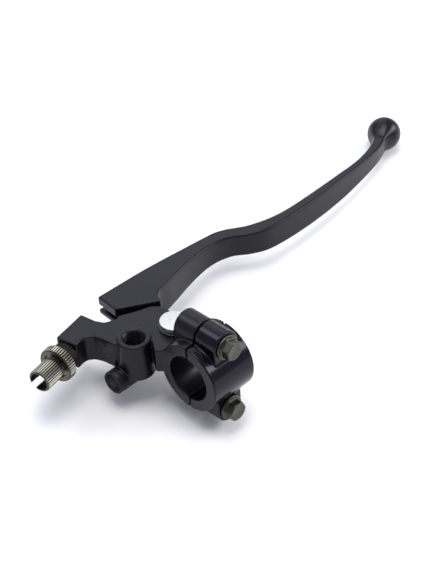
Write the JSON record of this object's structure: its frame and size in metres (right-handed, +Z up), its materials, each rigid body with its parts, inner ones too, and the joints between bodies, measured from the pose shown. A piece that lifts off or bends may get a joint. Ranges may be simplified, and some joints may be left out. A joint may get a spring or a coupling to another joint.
{
  "type": "clutch lever",
  "caption": "Motorcycle clutch lever on a two-piece handlebar clamp, with cable adjuster, threaded mirror boss, safety switch and ball-ended blade.",
  "frame": {"origin": "centre of the handlebar clamp's bore, at the middle of the clamp's length", "axes": "+X along the bar towards the lever's ball end, +Y forward from the bar towards the lever, +Z up along the lever pivot and the mirror boss"},
  "size_m": [0.2557, 0.0835, 0.0494],
  "materials": {
    "cast_black": "satin black paint on a smooth aluminium casting",
    "bolt_steel": "dull grey-olive plated steel",
    "zinc_steel": "bright zinc plate",
    "dark_steel": "dark plated steel",
    "spring_steel": "bare spring steel",
    "gunmetal_steel": "gunmetal plate with bright knurl crests",
    "bronze": "sintered bronze",
    "brass": "bright brass",
    "black_rubber": "matt black rubber",
    "black_plastic": "matt black moulded plastic"
  },
  "bodies": {
    "perch_assembly": {"perch": "cast_black", "clamp_cap": "cast_black", "upper_clamp_bolt": "bolt_steel", "lower_clamp_bolt": "bolt_steel", "pivot_screw": "zinc_steel", "pivot_washer": "dark_steel", "pivot_spring_washer": "spring_steel", "pivot_nut": "zinc_steel", "adjuster_dust_washer": "black_rubber", "switch_housing": "black_plastic", "switch_terminal_rear": "brass", "switch_terminal_front": "brass", "switch_return_spring": "spring_steel", "switch_seal": "black_rubber"},
    "lever_assembly": {"lever": "cast_black", "pivot_bush": "bronze"},
    "adjuster_barrel_body": {"adjuster_barrel": "gunmetal_steel"},
    "adjuster_ring_body": {"adjuster_lock_ring": "gunmetal_steel"},
    "switch_plunger_body": {"switch_plunger": "black_plastic", "switch_contact_bridge": "brass"}
  },
  "joints": [
    {"name": "lever_pivot", "type": "hinge", "parent": "perch_assembly", "child": "lever_assembly", "pos_m": [0.0022, 0.022, 0.0021], "axis": [0, 0, -1], "range_deg": [-9, 12]},
    {"name": "adjuster_travel", "type": "slide", "parent": "perch_assembly", "child": "adjuster_barrel_body", "axis": [-0.9803, -0.1977, 0], "range_m": [0, 0.008]},
    {"name": "lock_ring_spin", "type": "hinge", "parent": "perch_assembly", "child": "adjuster_ring_body", "pos_m": [-0.04346, 0.05052, 0.0007], "axis": [0.9803, 0.1977, 0], "continuous": true},
    {"name": "switch_plunger_slide", "type": "slide", "parent": "perch_assembly", "child": "switch_plunger_body", "axis": [1, 0, 0], "range_m": [-0.0015, 0.002], "deforming": ["switch_return_spring"]}
  ],
  "couplings": [
    {"joint": "switch_plunger_slide", "follows": "lever_pivot", "m_per_rad": 0.0092}
  ]
}
